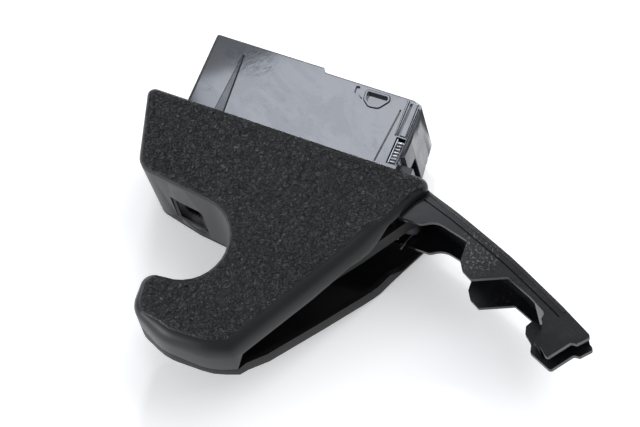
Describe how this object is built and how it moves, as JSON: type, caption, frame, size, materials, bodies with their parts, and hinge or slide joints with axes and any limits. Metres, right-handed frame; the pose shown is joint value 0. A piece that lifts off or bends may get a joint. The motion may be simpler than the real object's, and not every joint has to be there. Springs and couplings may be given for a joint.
{
  "type": "car door handle",
  "caption": "Pull-type car door handle: hooked hollow grip with a grained face, pivoting on a ribbed carrier box with a curved retaining arm and a bell crank inside.",
  "frame": {"origin": "centre of the raised pad on the carrier box's door side, at mid thickness", "axes": "+X along the door edge towards the retaining arm, +Y into the door, +Z the way the grained face looks, parallel to the grip's pivot pin"},
  "size_m": [0.2032, 0.1297, 0.0475],
  "materials": {
    "grained_black": "charcoal black, leather grain with smooth satin borders",
    "satin_black": "smooth satin black",
    "gloss_black": "polished black with smudges and fine scratches",
    "arm_black": "semi-gloss black, scuffed",
    "inner_black": "glass-filled nylon, matt black",
    "zinc_steel": "zinc plated",
    "spring_steel": "oil tempered",
    "brass": "turned brass",
    "natural_nylon": "natural nylon",
    "rubber": "matt black"
  },
  "bodies": {
    "carrier": {"carrier_housing": "gloss_black", "retaining_arm": "arm_black", "arm_screw_1": "zinc_steel", "arm_screw_2": "zinc_steel", "mounting_insert_1": "brass", "mounting_insert_2": "brass", "retaining_clip": "spring_steel", "pivot_pin": "zinc_steel", "pivot_e_clip": "spring_steel", "return_spring": "spring_steel", "stop_buffer": "rubber", "crank_pin": "zinc_steel", "crank_retainer": "spring_steel"},
    "grip": {"grip_front_shell": "grained_black", "grip_rear_cover": "satin_black", "grip_lever_core": "inner_black", "pivot_bush_rear": "natural_nylon", "pivot_bush_front": "natural_nylon", "core_screw_1": "zinc_steel", "core_screw_2": "zinc_steel", "cover_screw_1": "zinc_steel", "cover_screw_2": "zinc_steel", "recess_access_cap": "satin_black"},
    "crank": {"bell_crank": "inner_black", "crank_bush": "natural_nylon", "rod_clip": "natural_nylon"}
  },
  "joints": [
    {"name": "grip_pull", "type": "hinge", "parent": "carrier", "child": "grip", "pos_m": [0.0735, -0.0412, 0], "axis": [0, 0, 1], "range_deg": [0, 18], "stiffness_Nm_per_rad": 1.2, "springref_deg": -14.32},
    {"name": "crank_turn", "type": "hinge", "parent": "carrier", "child": "crank", "pos_m": [0.04593, -0.03634, 0], "axis": [0, 0, 1], "range_deg": [-24, 0]}
  ],
  "couplings": [
    {"joint": "crank_turn", "follows": "grip_pull", "ratio": -1.3333}
  ]
}
